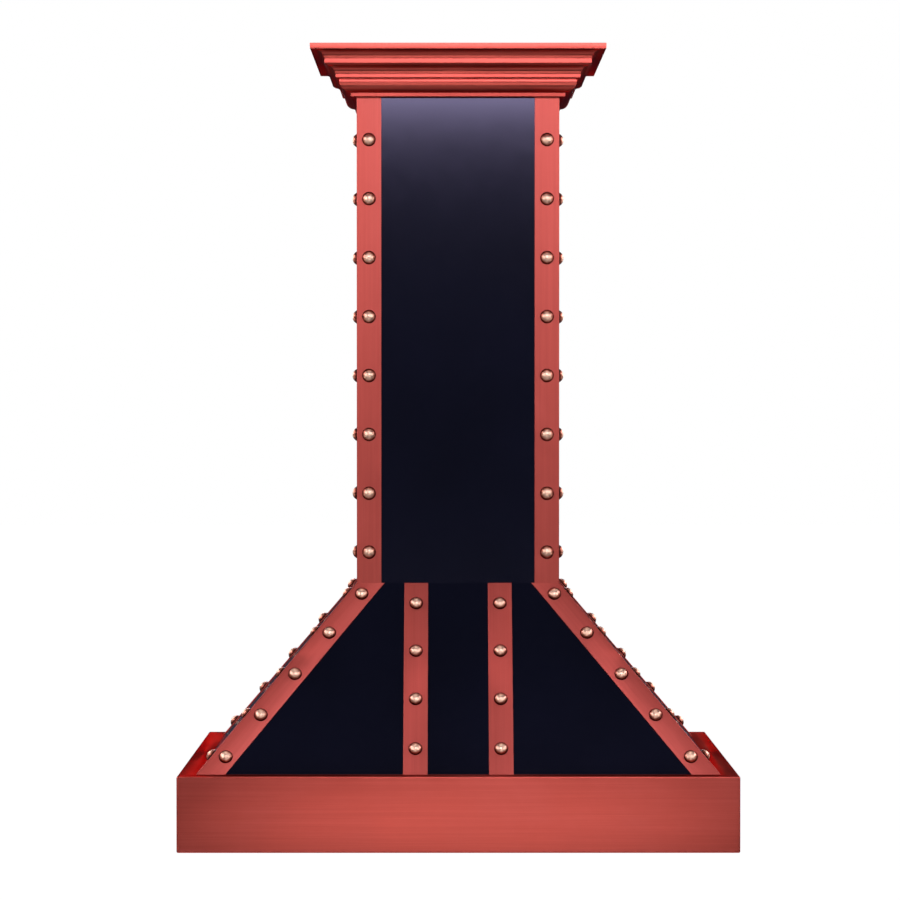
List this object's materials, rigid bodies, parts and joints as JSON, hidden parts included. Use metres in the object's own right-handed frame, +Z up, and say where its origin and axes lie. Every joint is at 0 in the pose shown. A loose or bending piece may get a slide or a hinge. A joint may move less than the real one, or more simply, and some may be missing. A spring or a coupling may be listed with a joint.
{
  "type": "island range hood",
  "caption": "Ceiling-hung island range hood: brushed copper skirt and crown, black pyramid canopy and chimney with riveted copper straps, blower, dampers, filters and lamps.",
  "frame": {"origin": "centre of the skirt's bottom edge plane", "axes": "+Z up towards the ceiling, the front faces -Y, +X to the right seen from the front"},
  "size_m": [0.762, 0.6, 1.1055],
  "materials": {
    "skirt_copper": "satin brushed copper with a horizontal grain, clear lacquered",
    "black_panel": "blue-black gloss enamel",
    "strap_copper": "satin brushed copper",
    "crown_copper": "satin copper moulding",
    "rivet_copper": "aged hammered copper with dark rims",
    "galvanised": "spangled zinc coated sheet",
    "zinc_screw": "bright zinc plated",
    "motor_body": "satin black enamel",
    "bright_steel": "ground steel",
    "wheel_steel": "zinc coated sheet",
    "damper_sheet": "mill finish sheet",
    "liner_steel": "brushed stainless steel",
    "filter_steel": "polished stainless baffles",
    "lamp_body": "satin die casting",
    "lamp_lens": "frosted",
    "control_plastic": "fine grained black",
    "circuit_board": "green laminate with black switches",
    "button_metal": "satin plated",
    "gland_plastic": "black nylon"
  },
  "bodies": {
    "hood": {"skirt_front": "skirt_copper", "skirt_rear": "skirt_copper", "skirt_left": "skirt_copper", "skirt_right": "skirt_copper", "canopy_panel_front": "black_panel", "canopy_panel_rear": "black_panel", "canopy_panel_left": "black_panel", "canopy_panel_right": "black_panel", "chimney_panel_front": "black_panel", "chimney_panel_rear": "black_panel", "chimney_panel_left": "black_panel", "chimney_panel_right": "black_panel", "hip_strap_front_left": "strap_copper", "hip_strap_front_right": "strap_copper", "hip_strap_rear_left": "strap_copper", "hip_strap_rear_right": "strap_copper", "centre_straps_front": "strap_copper", "centre_straps_rear": "strap_copper", "corner_strap_front_left": "strap_copper", "corner_strap_front_right": "strap_copper", "corner_strap_rear_left": "strap_copper", "corner_strap_rear_right": "strap_copper", "crown_front": "crown_copper", "crown_rear": "crown_copper", "crown_left": "crown_copper", "crown_right": "crown_copper", "chimney_rivets": "rivet_copper", "hip_rivets": "rivet_copper", "centre_rivets": "rivet_copper", "ceiling_bracket": "galvanised", "support_uprights": "galvanised", "cross_brace": "galvanised", "blower_deck": "galvanised", "blower_housing": "galvanised", "motor_bracket": "galvanised", "outlet_collar": "galvanised", "junction_box": "galvanised", "junction_cover": "galvanised", "frame_screws": "zinc_screw", "motor": "motor_body", "damper_pin": "bright_steel", "liner_pan": "liner_steel", "lamp_housings": "lamp_body", "lamp_lenses": "lamp_lens", "control_housing": "control_plastic", "control_board": "circuit_board", "inlet_gland": "gland_plastic"},
    "rotor": {"motor_shaft": "bright_steel", "impeller_left": "wheel_steel", "impeller_right": "wheel_steel"},
    "damper_front": {"damper_flap_front": "damper_sheet"},
    "damper_rear": {"damper_flap_rear": "damper_sheet"},
    "filter_left": {"baffle_filter_left": "filter_steel"},
    "filter_right": {"baffle_filter_right": "filter_steel"},
    "latch_left": {"filter_latch_left": "filter_steel"},
    "latch_right": {"filter_latch_right": "filter_steel"},
    "power_button": {"button_power": "button_metal"},
    "slower_button": {"button_slower": "button_metal"},
    "faster_button": {"button_faster": "button_metal"},
    "light_button": {"button_light": "button_metal"}
  },
  "joints": [
    {"name": "fan_spin", "type": "hinge", "parent": "hood", "child": "rotor", "pos_m": [0, 0, 0.264], "axis": [1, 0, 0], "continuous": true},
    {"name": "damper_front_lift", "type": "hinge", "parent": "hood", "child": "damper_front", "pos_m": [0, 0, 0.3896], "axis": [-1, 0, 0], "range_deg": [0, 75]},
    {"name": "damper_rear_lift", "type": "hinge", "parent": "hood", "child": "damper_rear", "pos_m": [0, 0, 0.3896], "axis": [1, 0, 0], "range_deg": [0, 75]},
    {"name": "filter_left_drop", "type": "hinge", "parent": "hood", "child": "filter_left", "pos_m": [-0.138, 0.194, 0.034], "axis": [1, 0, 0], "range_deg": [0, 60]},
    {"name": "filter_right_drop", "type": "hinge", "parent": "hood", "child": "filter_right", "pos_m": [0.138, 0.194, 0.034], "axis": [1, 0, 0], "range_deg": [0, 60]},
    {"name": "latch_left_slide", "type": "slide", "parent": "filter_left", "child": "latch_left", "axis": [0, 1, 0], "range_m": [0, 0.007], "stiffness_N_per_m": 300, "springref_m": -0.004},
    {"name": "latch_right_slide", "type": "slide", "parent": "filter_right", "child": "latch_right", "axis": [0, 1, 0], "range_m": [0, 0.007], "stiffness_N_per_m": 300, "springref_m": -0.004},
    {"name": "power_press", "type": "slide", "parent": "hood", "child": "power_button", "axis": [0, 0, 1], "range_m": [0, 0.002], "stiffness_N_per_m": 400, "springref_m": -0.001},
    {"name": "slower_press", "type": "slide", "parent": "hood", "child": "slower_button", "axis": [0, 0, 1], "range_m": [0, 0.002], "stiffness_N_per_m": 400, "springref_m": -0.001},
    {"name": "faster_press", "type": "slide", "parent": "hood", "child": "faster_button", "axis": [0, 0, 1], "range_m": [0, 0.002], "stiffness_N_per_m": 400, "springref_m": -0.001},
    {"name": "light_press", "type": "slide", "parent": "hood", "child": "light_button", "axis": [0, 0, 1], "range_m": [0, 0.002], "stiffness_N_per_m": 400, "springref_m": -0.001}
  ]
}
